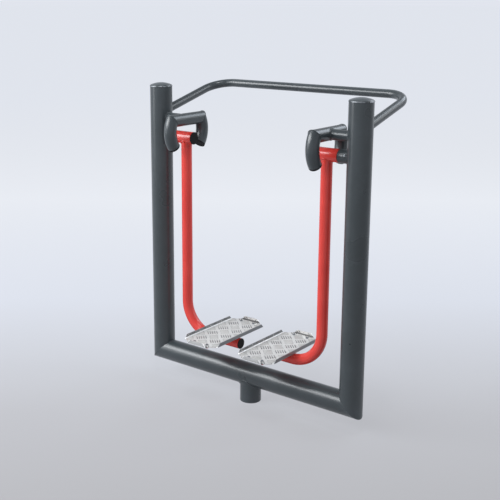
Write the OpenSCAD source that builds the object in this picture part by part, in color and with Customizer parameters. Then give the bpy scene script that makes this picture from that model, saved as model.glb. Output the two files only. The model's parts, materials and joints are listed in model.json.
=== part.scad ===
// Outdoor air walker: a U-shaped frame of round tube on one ground stub, with two foot arms that
// swing to and fro from pivots on its posts.
// X runs across the walker, Y from front to back and Z up, in millimetres.
// The origin is the centre of the ground stub's lower end.
// Parts that come in pairs are drawn for the right (+X) side and mirrored for the left.

/* [Frame] */
// Outside diameter of the posts and the cross beam
post_d = 114.3; // [105:0.1:125]
// Wall of the posts and the cross beam
post_wall = 3.6; // [2.5:0.1:6]
// Distance between the axes of the two posts
post_spacing = 1185; // [1150:1:1300]
// Height of the cross beam's axis above the lower end of the ground stub
beam_height = 138; // [130:1:400]
// Height of the square-cut tops of the posts above the beam's axis
post_height = 1438; // [1420:1:1600]
// Outside diameter of the ground stub
stub_d = 108; // [80:0.1:110]
// Wall of the ground stub
stub_wall = 5; // [3:0.1:8]

/* [Post cap] */
// Rise of a cap's crown above the end of its post
cap_rise = 18; // [12:0.5:24]
// Radius of the knuckle that rounds a cap's rim
cap_knuckle = 8; // [6.5:0.5:11]
// Thickness of a cap
cap_wall = 4; // [3:0.5:6]

/* [Handrail] */
// Outside diameter of the handrail tube
rail_d = 42.4; // [33:0.1:48]
// Wall of the handrail tube
rail_wall = 2.6; // [2:0.1:4]
// Height above the beam's axis at which the rail's axis would cross a post's axis
rail_height = 1300; // [1290:1:1320]
// Rise of the rail from the posts' plane to its cross bar
rail_rise = 128; // [60:1:160]
// Distance of the rail's cross bar behind the posts' plane
rail_reach = 471; // [350:1:600]
// Bend radius of the rail's corners, on the tube's axis
rail_bend = 121; // [80:1:150]

/* [Swing] */
// Distance between the planes in which the two arms hang
arm_spacing = 844; // [830:1:856]
// Height of the pivots' axes above the beam's axis
pivot_height = 1184.5; // [1150:0.5:1190]
// Swing of an arm to each side, where its tube meets the stop buffer, in degrees
swing_limit = 51; // [46:0.5:54]
// Outside diameter of the arm tube
arm_d = 55; // [48:0.1:58]
// Wall of the arm tube
arm_wall = 3; // [2:0.1:5]
// Bend radius at the foot of the arm, on the tube's axis
arm_bend = 165; // [120:1:175]
// Height of the footplates' tread above the beam's axis
tread_height = 187; // [170:1:240]
// Distance of the arm's open end from the footplate's inner edge
arm_end_inset = 3.5; // [3.5:0.5:30]

/* [Swing bracket] */
// Outside diameter of the bracket's cross bar and curved legs
bracket_d = 63.5; // [57:0.1:66]
// Wall of the bracket's tubes
bracket_wall = 3.2; // [2.5:0.1:5]
// Outside diameter of the stem that joins the bracket to the post
stem_d = 51; // [42:0.1:57]
// Height of the bracket's cross bar above the pivot's axis
bar_rise = 93.5; // [91:0.5:100]
// Radius of the curved legs, on the tube's axis
leg_radius = 124; // [118:0.1:132]
// Thickness of the rubber buffer on the end of each leg
buffer_t = 8; // [5:0.5:12]
// Depth of the buffer's spigot inside the leg
buffer_spigot = 15; // [10:1:25]
// Gap left between the arm and the buffer at the end of the swing
stop_gap = 0.5; // [0.3:0.1:1]

/* [Hub and boss] */
// Outside diameter of the hub tube
hub_d = 63.5; // [58:0.1:66]
// Length of the hub from the arm's axis to its capped inner end
hub_inner = 48.5; // [46:0.5:55]
// Length of the hub from the arm's axis to its outer end
hub_outer = 68; // [60:0.5:72]
// Gap between the hub and the boss on the post
hub_gap = 3; // [2:0.5:6]
// Outside diameter of the boss on the post
boss_d = 65; // [60:0.5:70]
// Diameter of the pivot shaft
shaft_d = 25; // [20:1:28]
// Depth to which the shaft passes into the post, from the post's outer surface
shaft_inset = 8; // [6:1:20]
// Thickness of the rims of the hub caps and of the arms' end caps
cap_rim = 3.5; // [2:0.5:5]
// Depth of the caps' spigots inside their tubes
cap_spigot = 8; // [5:0.5:9]
// Wall of the caps' spigots
cap_spigot_wall = 2.5; // [2:0.5:3]

/* [Bearings] */
// Outside diameter of a bearing
bearing_od = 52; // [48:1:54]
// Width of a bearing
bearing_w = 15; // [14:0.5:16]
// Depth of the outer bearing behind the hub's outer end
bearing_recess = 4; // [3:0.5:8]
// Length of the sleeve between the two bearings
sleeve_l = 59; // [50:0.5:60]
// Diameter of the bearing balls
ball_d = 7.5; // [6:0.1:9]
// Number of balls in a bearing
ball_count = 9; // [7:1:12]
// Thickness of a bearing's shields
shield_t = 0.8; // [0.6:0.1:1.2]

/* [Footplate] */
// Length of a footplate from front to back, over its flanges
plate_l = 462; // [400:1:500]
// Width of a footplate over its flanges
plate_w = 216; // [190:1:230]
// Thickness of the sheet
plate_t = 3; // [2:0.5:4]
// Distance between the middles of the two footplates
plate_spacing = 342; // [330:1:360]
// Height of the flanges above the tread
flange_h = 17; // [12:0.5:25]
// Outer bend radius of the folded flanges
fold_r = 5; // [4.5:0.5:6]
// Width across which each corner of the plate is cut off
corner_x = 50; // [40:1:60]
// Length along which each corner of the plate is cut off
corner_y = 39; // [30:1:50]
// Length of the slant at each end of a flange
flange_slant = 15; // [8:1:20]

/* [Footplate bearers] */
// Width of the two flat bars under a footplate
bearer_w = 40; // [25:1:50]
// Thickness of the bars
bearer_t = 6; // [4:0.5:8]
// Length of the bars
bearer_l = 430; // [420:1:450]
// Distance between the middles of the two bars, and of the bolts in them
bearer_spacing = 80; // [60:1:110]
// Distance between the front and the rear bolts
bolt_spacing = 390; // [300:1:400]

/* [Fasteners] */
// Thread diameter of the footplate bolts and of the boss screws
bolt_d = 8; // [6:1:8]
// Head diameter of the footplate bolts and of the boss screws
bolt_head_d = 14; // [13:0.5:16]
// Head height of the footplate bolts and of the boss screws
bolt_head_h = 4.4; // [3:0.1:6]
// Width across the flats of the footplate nuts
nut_af = 13; // [13:0.5:14]
// Height of the footplate nuts
nut_h = 6.5; // [5:0.5:8]
// Diameter of the footplate washers
washer_d = 16; // [15:0.5:20]
// Thickness of the footplate washers
washer_t = 1.6; // [1:0.1:2]
// Distance of a boss screw from the surface of its post, along the boss
screw_inset = 3; // [3:0.5:4]
// Angle of a boss screw above the horizontal, at the front of the boss
screw_angle = 19; // [0:1:40]
// Thread diameter of the bolt in the end of the shaft
end_bolt_d = 12; // [10:1:12]
// Length of the end bolt under its head
end_bolt_l = 30; // [20:1:35]
// Width across the flats of the end bolt's head
end_bolt_af = 19; // [17:0.5:19]
// Height of the end bolt's head
end_bolt_h = 7.5; // [5:0.5:8]
// Outside diameter of the washer under the end bolt
end_washer_d = 34; // [30:0.5:38]
// Thickness of the washer under the end bolt
end_washer_t = 4; // [2:0.5:5]

/* [Hidden] */
$fn = 96;
// Fit-up gap at a coped, welded joint, on the curved face
weld_gap = 0.2;
// Radial clearance of a seat, a spigot or a bolt in its hole
fit = 0.05;
// Radial clearance of the caps' and the buffers' spigots
spigot_fit = 0.2;
// Clearance hole over the bolt diameter
hole_play = 1;
// Spare length of a cutting tool past the face that it cuts
over = 1;
// Side of a block that cuts away everything past a plane
block = 600;
// Height of a race's shoulders, as a share of the balls' diameter
race_shoulder = 0.15;
// Step from a bearing's inner ring down to the sleeve and the spacer
sleeve_step = 0.5;
// Height of the step in the hub that a bearing's outer ring seats against
hub_step = 4;
// Distance of the shields from a bearing's faces
shield_inset = 0.5;
// Distance of the shaft's end behind the inner bearing's face, so that the washer grips the ring
shaft_short = 0.5;
// Depth of the flat under a boss screw's head
screw_sunk = 1;
// Width across the flats of the sockets in the bolts' and the screws' heads
socket_af = 5;
// Height of a head's straight edge, and the width of the curve above it
head_edge = 1.3;
head_curve = 2.8;
// Bevel on the rims of the caps
cap_bevel = 1;

post_x = post_spacing / 2;
post_r = post_d / 2;
beam_z = beam_height;
top_z = beam_z + post_height;
// A dished cap: a slice of a large ball runs smoothly into the knuckle's circle
knuckle_x = post_r - cap_knuckle;
cap_ball_r = (pow(knuckle_x, 2) + pow(cap_rise, 2) - pow(cap_knuckle, 2)) / (2 * (cap_rise - cap_knuckle));

rail_z = beam_z + rail_height;
rail_slope = atan(rail_rise / rail_reach);
rail_run = sqrt(pow(rail_reach, 2) + pow(rail_rise, 2));
// A leg of the rail starts inside the post's outline, and its cope cuts it back to the post
rail_start = post_r / 2;

arm_x = arm_spacing / 2;
pivot_z = beam_z + pivot_height;
arm_low_z = beam_z + tread_height - plate_t - bearer_t - weld_gap - arm_d / 2;
// Distance from the arm's plane to the post's near surface
post_u = post_x - post_r - arm_x;
boss_u = hub_outer + hub_gap;

// The buffers' faces lie flat against the arm's tube, the stop gap away, at the end of its swing
leg_centre_rise = (arm_d / 2 + stop_gap) / sin(swing_limit);
leg_z = pivot_z + leg_centre_rise;
bar_z = pivot_z + bar_rise;
leg_top_angle = asin((bar_rise - leg_centre_rise) / leg_radius);
leg_top_y = leg_radius * cos(leg_top_angle);
leg_stop_angle = 90 - swing_limit;
leg_end_angle = leg_stop_angle - degrees_of(buffer_t);
mitre_angle = (90 - leg_top_angle) / 2;
// The leg is drawn this much past the mitre before the mitre cuts it
mitre_spare = 30;

// Along the pivot, places are measured outwards from the arm's plane
outer_bearing_u = hub_outer - bearing_recess - bearing_w;
inner_bearing_u = outer_bearing_u - sleeve_l - bearing_w;
shaft_end_u = inner_bearing_u + shaft_short;
shaft_far_u = post_u + shaft_inset;
race_pitch_d = (shaft_d + bearing_od) / 2;
race_inner_d = race_pitch_d - ball_d * (1 - 2 * race_shoulder);
race_outer_d = race_pitch_d + ball_d * (1 - 2 * race_shoulder);
// The balls sit in the outer ring and run clear of the inner one
ball_seat = 0.05;
ball_clear = 0.35;
shield_clear = 0.4;
sleeve_d = race_inner_d - 2 * sleeve_step;
hub_bore = bearing_od - 2 * hub_step;
screw_u = post_u - screw_inset;
screw_seat = boss_d / 2 - screw_sunk;

plate_x = plate_spacing / 2;
tread_z = beam_z + tread_height;
plate_low_z = tread_z - plate_t;
bearer_z = plate_low_z - bearer_t;
flange_top = plate_t + flange_h;
arm_end_x = plate_x - plate_w / 2 + arm_end_inset;

frame_grey = "#474c52";
arm_red = "#cb352e";
tread_grey = "#cbcdcc";
black = "#17181a";
steel = "#9a9ea3";

// Angle that a length along the leg's axis turns through
function degrees_of(length) = length / leg_radius * 180 / PI;

// Height of a head's curve above its springing, at a distance in from the rim
function head_rise(inset, curve, rise) = rise * sqrt(1 - pow(1 - inset / curve, 2));

// Outline of a head from its rim to its middle: a curve, then a flat top
function head_outline(radius, curve, rise, lift, steps) = concat(
    [for (i = [0:steps]) [radius - curve * i / steps, lift + head_rise(curve * i / steps, curve, rise)]],
    [[0, lift + rise]]
);

module left() {
    mirror([1, 0, 0]) children();
}

module right() {
    children();
}

// Puts what is drawn along +Z onto the pivot's axis, from the arm's plane outwards
module on_pivot(u = 0) {
    translate([arm_x + u, 0, pivot_z]) rotate([0, 90, 0]) children();
}

// Puts a shape drawn in the XY plane into the arm's plane, with X to the back and Y up
module in_arm_plane(z) {
    translate([arm_x, 0, z]) rotate([90, 0, 90]) children();
}

module front_and_rear() {
    children();
    mirror([0, 1, 0]) children();
}

module ring(outer_d, inner_d, length) {
    difference() {
        cylinder(d = outer_d, h = length);
        translate([0, 0, -over]) cylinder(d = inner_d, h = length + 2 * over);
    }
}

// Axis-long cylinders that stand for the posts and the beam when something is coped to them
module post_outline(gap) {
    translate([post_x, 0, 0]) cylinder(r = post_r + gap, h = top_z);
}

module beam_outline(gap) {
    translate([-post_x, 0, beam_z]) rotate([0, 90, 0]) cylinder(r = post_r + gap, h = post_spacing);
}

// Everything beyond the 45 degree mitre at the foot of the right post, on the beam's side or the post's
module mitre_block(post_side) {
    translate([post_x, 0, beam_z]) rotate([0, post_side ? 45 : -135, 0])
        translate([-block / 2, -block / 2, -block]) cube(block);
}

module cross_beam() {
    color(frame_grey) difference() {
        translate([-post_x - post_r, 0, beam_z]) rotate([0, 90, 0])
            ring(post_d, post_d - 2 * post_wall, post_spacing + post_d);
        mitre_block(false);
        mirror([1, 0, 0]) mitre_block(false);
    }
}

module ground_stub() {
    color(frame_grey) difference() {
        ring(stub_d, stub_d - 2 * stub_wall, beam_z);
        beam_outline(weld_gap);
    }
}

module post() {
    color(frame_grey) difference() {
        translate([post_x, 0, beam_z - post_r])
            ring(post_d, post_d - 2 * post_wall, post_height + post_r);
        mitre_block(true);
        on_pivot() cylinder(r = shaft_d / 2 + fit, h = post_u + 2 * shaft_inset);
    }
}

// Half of a cap's section, or of the hollow under it, a wall's thickness further in
module crown(inset) {
    ball_y = cap_rise - cap_ball_r;
    intersection() {
        union() {
            translate([knuckle_x, 0]) circle(r = cap_knuckle - inset);
            intersection() {
                translate([0, ball_y]) circle(r = cap_ball_r - inset);
                polygon([[0, ball_y], [2 * knuckle_x, -ball_y], [0, -ball_y]]);
            }
        }
        translate([0, -inset]) square([post_r, cap_rise + inset]);
    }
}

module post_cap() {
    color(frame_grey) translate([post_x, 0, top_z]) rotate_extrude() intersection() {
        difference() {
            crown(0);
            crown(cap_wall);
        }
        square(post_r + cap_rise);
    }
}

// The rail in its own slanting plane: X across, Y out from the posts
module rail_path(d) {
    straight = rail_run - rail_bend;
    for (side = [-1, 1]) {
        translate([side * post_x, rail_start, 0]) rotate([-90, 0, 0])
            cylinder(d = d, h = straight - rail_start);
        translate([side * (post_x - rail_bend), straight, 0]) rotate([0, 0, side > 0 ? 0 : 90])
            rotate_extrude(angle = 90) translate([rail_bend, 0]) circle(d = d);
    }
    translate([rail_bend - post_x, rail_run, 0]) rotate([0, 90, 0])
        cylinder(d = d, h = post_spacing - 2 * rail_bend);
}

module handrail() {
    color(frame_grey) difference() {
        translate([0, 0, rail_z]) rotate([rail_slope, 0, 0]) rail_path(rail_d);
        translate([0, 0, rail_z]) rotate([rail_slope, 0, 0]) rail_path(rail_d - 2 * rail_wall);
        post_outline(weld_gap);
        mirror([1, 0, 0]) post_outline(weld_gap);
    }
}

// A stretch of a leg's tube, from one angle above the horizontal to another
module leg_arc(d, from, to) {
    in_arm_plane(leg_z) rotate([0, 0, from]) rotate_extrude(angle = to - from)
        translate([leg_radius, 0]) circle(d = d);
}

// Everything on the leg's side of the mitre at the rear end of the bracket's bar
module leg_side() {
    translate([arm_x, leg_top_y, bar_z]) rotate([-mitre_angle, 0, 0])
        translate([-block / 2, 0, -block / 2]) cube(block);
}

module rear_leg() {
    color(frame_grey) intersection() {
        difference() {
            leg_arc(bracket_d, -leg_end_angle, leg_top_angle + mitre_spare);
            leg_arc(bracket_d - 2 * bracket_wall, -leg_end_angle - over, leg_top_angle + mitre_spare + over);
        }
        leg_side();
    }
}

module front_leg() {
    mirror([0, 1, 0]) rear_leg();
}

module bracket_bar() {
    length = 2 * (leg_top_y + bracket_d);
    color(frame_grey) difference() {
        translate([arm_x, length / 2, bar_z]) rotate([90, 0, 0])
            ring(bracket_d, bracket_d - 2 * bracket_wall, length);
        front_and_rear() leg_side();
    }
}

module bracket_stem() {
    color(frame_grey) difference() {
        translate([arm_x, 0, bar_z]) rotate([0, 90, 0])
            ring(stem_d, stem_d - 2 * bracket_wall, post_x - arm_x);
        translate([arm_x, bracket_d, bar_z]) rotate([90, 0, 0])
            cylinder(r = bracket_d / 2 + weld_gap, h = 2 * bracket_d);
        post_outline(weld_gap);
    }
}

module stop_buffers() {
    spigot_d = bracket_d - 2 * bracket_wall - 2 * spigot_fit;
    color(black) front_and_rear() {
        leg_arc(bracket_d, -leg_stop_angle, -leg_end_angle);
        leg_arc(spigot_d, -leg_stop_angle, -leg_end_angle + degrees_of(buffer_spigot));
    }
}

// Line of a boss screw: local Z runs out from the shaft's axis
module on_screw() {
    on_pivot(screw_u) rotate([0, 0, -screw_angle]) rotate([90, 0, 0]) children();
}

module pivot_boss() {
    color(frame_grey) difference() {
        on_pivot(boss_u) cylinder(d = boss_d, h = post_u + post_r - boss_u);
        on_pivot() cylinder(r = shaft_d / 2 + fit, h = post_u + post_r);
        on_screw() cylinder(r = bolt_d / 2 + fit, h = boss_d);
        on_screw() translate([0, 0, screw_seat]) cylinder(r = bolt_head_d / 2 + 2 * fit, h = boss_d);
        post_outline(weld_gap);
    }
}

module boss_screw() {
    grip_z = shaft_d / 2 + 2 * fit;
    color(steel) on_screw() {
        translate([0, 0, grip_z]) cylinder(d = bolt_d, h = screw_seat - grip_z);
        translate([0, 0, screw_seat]) button_head();
    }
}

// A domed head with a hexagon socket, its seat at the origin
module button_head() {
    steps = 4;
    head_r = bolt_head_d / 2;
    difference() {
        rotate_extrude() polygon(concat(
            [[0, 0], [head_r, 0]],
            head_outline(head_r, head_curve, bolt_head_h - head_edge, head_edge, steps)
        ));
        translate([0, 0, bolt_head_h / 2]) cylinder(d = socket_af / cos(30), h = bolt_head_h, $fn = 6);
    }
}

module pivot_shaft() {
    color(steel) difference() {
        on_pivot(shaft_end_u) cylinder(d = shaft_d, h = shaft_far_u - shaft_end_u);
        on_pivot(shaft_end_u - over) cylinder(r = end_bolt_d / 2 + fit, h = end_bolt_l + 2 * over);
    }
}

module boss_spacer() {
    start = outer_bearing_u + bearing_w;
    color(steel) on_pivot(start) ring(sleeve_d, shaft_d + 2 * fit, boss_u - start);
}

module bearing_sleeve() {
    color(steel) on_pivot(inner_bearing_u + bearing_w) ring(sleeve_d, shaft_d + 2 * fit, sleeve_l);
}

// Repeats a bearing part at the inner and the outer bearing
module both_bearings() {
    for (u = [inner_bearing_u, outer_bearing_u]) on_pivot(u) children();
}

module race_groove(radius) {
    rotate_extrude() translate([race_pitch_d / 2, 0]) circle(r = radius);
}

module bearing_inner_rings() {
    color(steel) both_bearings() difference() {
        ring(race_inner_d, shaft_d + 2 * fit, bearing_w);
        translate([0, 0, bearing_w / 2]) race_groove(ball_d / 2 + ball_clear);
    }
}

module bearing_outer_rings() {
    color(steel) both_bearings() difference() {
        ring(bearing_od - 2 * fit, race_outer_d, bearing_w);
        translate([0, 0, bearing_w / 2]) race_groove(ball_d / 2 + ball_seat);
    }
}

module bearing_balls() {
    color(steel) both_bearings() for (i = [0:ball_count - 1])
        rotate([0, 0, 360 * i / ball_count]) translate([race_pitch_d / 2, 0, bearing_w / 2])
            sphere(d = ball_d);
}

module bearing_shields() {
    color(black) both_bearings() for (z = [shield_inset, bearing_w - shield_t - shield_inset])
        translate([0, 0, z]) ring(race_outer_d - 2 * fit, race_inner_d + 2 * shield_clear, shield_t);
}

module end_washer() {
    color(steel) on_pivot(inner_bearing_u - end_washer_t)
        ring(end_washer_d, end_bolt_d + hole_play, end_washer_t);
}

module end_bolt() {
    seat = inner_bearing_u - end_washer_t;
    color(steel) {
        on_pivot(seat) cylinder(d = end_bolt_d, h = end_bolt_l);
        on_pivot(seat - end_bolt_h) cylinder(d = end_bolt_af / cos(30), h = end_bolt_h, $fn = 6);
    }
}

module hub() {
    color(arm_red) difference() {
        on_pivot(-hub_inner) cylinder(d = hub_d, h = hub_inner + hub_outer);
        on_pivot(-hub_inner - over) cylinder(d = bearing_od, h = hub_inner + inner_bearing_u + bearing_w + over);
        on_pivot(inner_bearing_u) cylinder(d = hub_bore, h = hub_outer - inner_bearing_u);
        on_pivot(outer_bearing_u) cylinder(d = bearing_od, h = hub_outer - outer_bearing_u + over);
    }
}

// A plug with its rim outside the tube: Z = 0 is the tube's end, the spigot goes down
module tube_cap(tube_od, tube_id) {
    spigot_d = tube_id - 2 * spigot_fit;
    cylinder(d = tube_od, h = cap_rim - cap_bevel);
    translate([0, 0, cap_rim - cap_bevel])
        cylinder(d1 = tube_od, d2 = tube_od - 2 * cap_bevel, h = cap_bevel);
    translate([0, 0, -cap_spigot]) ring(spigot_d, spigot_d - 2 * cap_spigot_wall, cap_spigot);
}

module hub_cap() {
    color(black) on_pivot(-hub_inner) rotate([180, 0, 0]) tube_cap(hub_d, bearing_od);
}

// The arm's tube, from the hub down, round the bend and in under the footplate
module arm_path(d, spare) {
    straight = pivot_z - arm_low_z - arm_bend;
    translate([arm_x, 0, arm_low_z + arm_bend]) cylinder(d = d, h = straight);
    translate([arm_x - arm_bend, 0, arm_low_z + arm_bend]) rotate([90, 0, 0]) rotate([0, 0, -90])
        rotate_extrude(angle = 90) translate([arm_bend, 0]) circle(d = d);
    translate([arm_end_x - spare, 0, arm_low_z]) rotate([0, 90, 0])
        cylinder(d = d, h = arm_x - arm_bend - arm_end_x + spare);
}

module swing_arm() {
    color(arm_red) difference() {
        arm_path(arm_d, 0);
        arm_path(arm_d - 2 * arm_wall, over);
        on_pivot(-hub_inner) cylinder(r = hub_d / 2 + weld_gap, h = hub_inner + hub_outer);
    }
}

module arm_end_cap() {
    color(black) translate([arm_end_x, 0, arm_low_z]) rotate([0, -90, 0])
        tube_cap(arm_d, arm_d - 2 * arm_wall);
}

// Repeats a fastener at the four bolt places of a footplate
module at_bolts(z) {
    for (x = [-1, 1], y = [-1, 1])
        translate([plate_x + x * bearer_spacing / 2, y * bolt_spacing / 2, z]) children();
}

module bolt_holes() {
    at_bolts(bearer_z - over) cylinder(d = bolt_d + hole_play, h = bearer_t + plate_t + 2 * over);
}

module plate_bearers() {
    color(arm_red) difference() {
        for (x = [-1, 1]) translate([plate_x + x * bearer_spacing / 2 - bearer_w / 2, -bearer_l / 2, bearer_z])
            cube([bearer_w, bearer_l, bearer_t]);
        bolt_holes();
    }
}

// A flange folded up along a side: X out from the plate, Y up, drawn along Z, with slanting ends
module flange(length) {
    difference() {
        linear_extrude(length, center = true) {
            intersection() {
                translate([-fold_r, fold_r]) difference() {
                    circle(r = fold_r);
                    circle(r = fold_r - plate_t);
                }
                translate([-fold_r, 0]) square(fold_r);
            }
            translate([-plate_t, fold_r]) square([plate_t, flange_top - fold_r]);
        }
        for (end = [0, 1]) mirror([0, 0, end])
            translate([-plate_w / 2, flange_top, length / 2]) rotate([0, 90, 0])
                linear_extrude(plate_w) polygon([[-over, over], [flange_slant, over],
                    [flange_slant, 0], [0, -flange_h], [-over, -flange_h]]);
    }
}

module plate_floor() {
    half_w = plate_w / 2;
    half_l = plate_l / 2;
    quarter = [
        [half_w - fold_r, half_l - corner_y],
        [half_w - corner_x, half_l - fold_r]
    ];
    outline = concat(
        [for (p = quarter) p],
        [for (i = [1, 0]) [-quarter[i][0], quarter[i][1]]],
        [for (p = quarter) [-p[0], -p[1]]],
        [for (i = [1, 0]) [quarter[i][0], -quarter[i][1]]]
    );
    linear_extrude(plate_t) polygon(outline);
}

module footplate() {
    color(tread_grey) difference() {
        translate([plate_x, 0, plate_low_z]) {
            plate_floor();
            for (side = [0, 1]) mirror([side, 0, 0]) translate([plate_w / 2, 0, 0])
                rotate([90, 0, 0]) flange(plate_l - 2 * corner_y);
            for (end = [0, 1]) mirror([0, end, 0]) translate([0, plate_l / 2, 0])
                rotate([90, 0, 90]) flange(plate_w - 2 * corner_x);
        }
        bolt_holes();
    }
}

module footplate_bolts() {
    shank = plate_t + bearer_t + washer_t + nut_h;
    color(steel) {
        at_bolts(tread_z - shank) cylinder(d = bolt_d, h = shank);
        at_bolts(tread_z) button_head();
    }
}

module footplate_nuts() {
    color(steel) at_bolts(bearer_z - washer_t - nut_h) difference() {
        cylinder(d = nut_af / cos(30), h = nut_h, $fn = 6);
        translate([0, 0, -over]) cylinder(r = bolt_d / 2 + fit, h = nut_h + 2 * over);
    }
}

module footplate_washers() {
    color(steel) at_bolts(bearer_z - washer_t) ring(washer_d, bolt_d + 2 * fit, washer_t);
}

cross_beam();
ground_stub();
handrail();
left() post();  // post_left
right() post();  // post_right
left() post_cap();  // post_cap_left
right() post_cap();  // post_cap_right
left() bracket_stem();  // bracket_stem_left
right() bracket_stem();  // bracket_stem_right
left() bracket_bar();  // bracket_bar_left
right() bracket_bar();  // bracket_bar_right
left() front_leg();  // front_leg_left
right() front_leg();  // front_leg_right
left() rear_leg();  // rear_leg_left
right() rear_leg();  // rear_leg_right
left() stop_buffers();  // stop_buffers_left
right() stop_buffers();  // stop_buffers_right
left() pivot_boss();  // pivot_boss_left
right() pivot_boss();  // pivot_boss_right
left() boss_screw();  // boss_screw_left
right() boss_screw();  // boss_screw_right
left() pivot_shaft();  // pivot_shaft_left
right() pivot_shaft();  // pivot_shaft_right
left() boss_spacer();  // boss_spacer_left
right() boss_spacer();  // boss_spacer_right
left() bearing_sleeve();  // bearing_sleeve_left
right() bearing_sleeve();  // bearing_sleeve_right
left() bearing_inner_rings();  // bearing_inner_rings_left
right() bearing_inner_rings();  // bearing_inner_rings_right
left() end_washer();  // end_washer_left
right() end_washer();  // end_washer_right
left() end_bolt();  // end_bolt_left
right() end_bolt();  // end_bolt_right
left() bearing_outer_rings();  // bearing_outer_rings_left
right() bearing_outer_rings();  // bearing_outer_rings_right
left() bearing_balls();  // bearing_balls_left
right() bearing_balls();  // bearing_balls_right
left() bearing_shields();  // bearing_shields_left
right() bearing_shields();  // bearing_shields_right
left() hub();  // hub_left
right() hub();  // hub_right
left() hub_cap();  // hub_cap_left
right() hub_cap();  // hub_cap_right
left() swing_arm();  // swing_arm_left
right() swing_arm();  // swing_arm_right
left() arm_end_cap();  // arm_end_cap_left
right() arm_end_cap();  // arm_end_cap_right
left() plate_bearers();  // plate_bearers_left
right() plate_bearers();  // plate_bearers_right
left() footplate();  // footplate_left
right() footplate();  // footplate_right
left() footplate_bolts();  // footplate_bolts_left
right() footplate_bolts();  // footplate_bolts_right
left() footplate_washers();  // footplate_washers_left
right() footplate_washers();  // footplate_washers_right
left() footplate_nuts();  // footplate_nuts_left
right() footplate_nuts();  // footplate_nuts_right
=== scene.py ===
import json
import math

import bmesh
import bpy
from mathutils import Matrix, Vector


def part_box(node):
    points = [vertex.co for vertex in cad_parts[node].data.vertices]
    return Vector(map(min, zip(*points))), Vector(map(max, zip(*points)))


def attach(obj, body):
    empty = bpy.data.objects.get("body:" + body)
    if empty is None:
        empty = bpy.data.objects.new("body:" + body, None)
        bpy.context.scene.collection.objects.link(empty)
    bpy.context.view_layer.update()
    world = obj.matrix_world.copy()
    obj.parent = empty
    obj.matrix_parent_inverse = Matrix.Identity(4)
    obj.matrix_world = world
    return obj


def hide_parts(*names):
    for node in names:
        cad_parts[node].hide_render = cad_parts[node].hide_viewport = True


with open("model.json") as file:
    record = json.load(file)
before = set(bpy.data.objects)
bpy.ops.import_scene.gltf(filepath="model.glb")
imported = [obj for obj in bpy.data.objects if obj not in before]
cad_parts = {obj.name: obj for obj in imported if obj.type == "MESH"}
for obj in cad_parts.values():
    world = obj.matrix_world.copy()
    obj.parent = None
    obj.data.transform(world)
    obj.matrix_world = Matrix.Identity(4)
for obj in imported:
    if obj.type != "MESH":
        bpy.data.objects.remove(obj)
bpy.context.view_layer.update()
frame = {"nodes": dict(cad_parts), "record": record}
nodes = frame["nodes"]
sides = {"left": -1, "right": 1}
ends = (-1, 1)  # front, rear
millimetre = 0.001
print("frame loaded,", len(nodes), "nodes")


# Sizes that the pieces below share, read from the frame where a box gives them

def span(node, axis):
    low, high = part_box(node)
    return low[axis], high[axis]


def middle(node, axis):
    low, high = span(node, axis)
    return (low + high) / 2


def halfSize(node, axis):
    low, high = span(node, axis)
    return (high - low) / 2


tube = {
    "postX": middle("post_right", 0),
    "postRadius": halfSize("post_right", 1),
    "postTop": span("post_right", 2)[1],
    "beamZ": middle("cross_beam", 2),
    "stubRadius": halfSize("ground_stub", 0),
    "railRadius": 21.2 * millimetre,
    "railRise": 128 * millimetre,
    "stemRadius": halfSize("bracket_stem_right", 1),
    "barRadius": halfSize("bracket_bar_right", 0),
    "barZ": middle("bracket_bar_right", 2),
    "bossRadius": halfSize("pivot_boss_right", 1),
    "hubRadius": halfSize("hub_right", 1),
    "armRadius": halfSize("swing_arm_right", 1),
    "armX": middle("bracket_bar_right", 0),
    "pivotZ": middle("hub_right", 2),
}
legMitre = math.radians(31.19)  # between the bracket's bar and its legs
railReach = span("handrail", 1)[1] - tube["railRadius"]
railHeight = span("handrail", 2)[1] - tube["railRadius"] - tube["railRise"]
railSlope = math.atan2(tube["railRise"], railReach)

plate = {
    "x": middle("footplate_right", 0),
    "halfWidth": halfSize("footplate_right", 0),
    "halfLength": halfSize("footplate_right", 1),
    "thickness": 3 * millimetre,
    "tread": span("footplate_right", 2)[0] + 3 * millimetre,
    "flangeTop": span("footplate_right", 2)[1],
    "fold": 5 * millimetre,
    "cornerX": 50 * millimetre,  # where the flanges end, from the plate's corner
    "cornerY": 39 * millimetre,
    "slant": 15 * millimetre,  # of a flange's ends over its height
}


# Materials

def newMaterial(name):
    material = bpy.data.materials.new(name)
    material.use_nodes = True
    return material, material.node_tree, material.node_tree.nodes["Principled BSDF"]


def feed(tree, socket, value):
    # A socket takes a link from another node, or else a plain value
    if isinstance(value, bpy.types.NodeSocket):
        tree.links.new(value, socket)
    else:
        socket.default_value = value


def addNode(tree, kind, settings=None, **inputs):
    node = tree.nodes.new(kind)
    for key, value in (settings or {}).items():
        setattr(node, key, value)
    for key, value in inputs.items():
        feed(tree, node.inputs[key.replace("_", " ")], value)
    return node


def calculate(tree, operation, *values):
    node = tree.nodes.new("ShaderNodeMath")
    node.operation = operation
    for socket, value in zip(node.inputs, values):
        feed(tree, socket, value)
    return node.outputs[0]


def linear(hexColour):
    channels = [int(hexColour[i:i + 2], 16) / 255 for i in (1, 3, 5)]
    return [c / 12.92 if c <= 0.04045 else ((c + 0.055) / 1.055) ** 2.4 for c in channels] + [1]


def objectSpace(tree, stretch=(1, 1, 1)):
    place = addNode(tree, "ShaderNodeTexCoord").outputs["Object"]
    return addNode(tree, "ShaderNodeMapping", Vector=place, Scale=stretch).outputs[0]


def noise(tree, vector, scale, detail, roughness):
    node = addNode(tree, "ShaderNodeTexNoise", Vector=vector, Scale=scale, Detail=detail,
                   Roughness=roughness)
    return node.outputs["Fac"]


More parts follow.
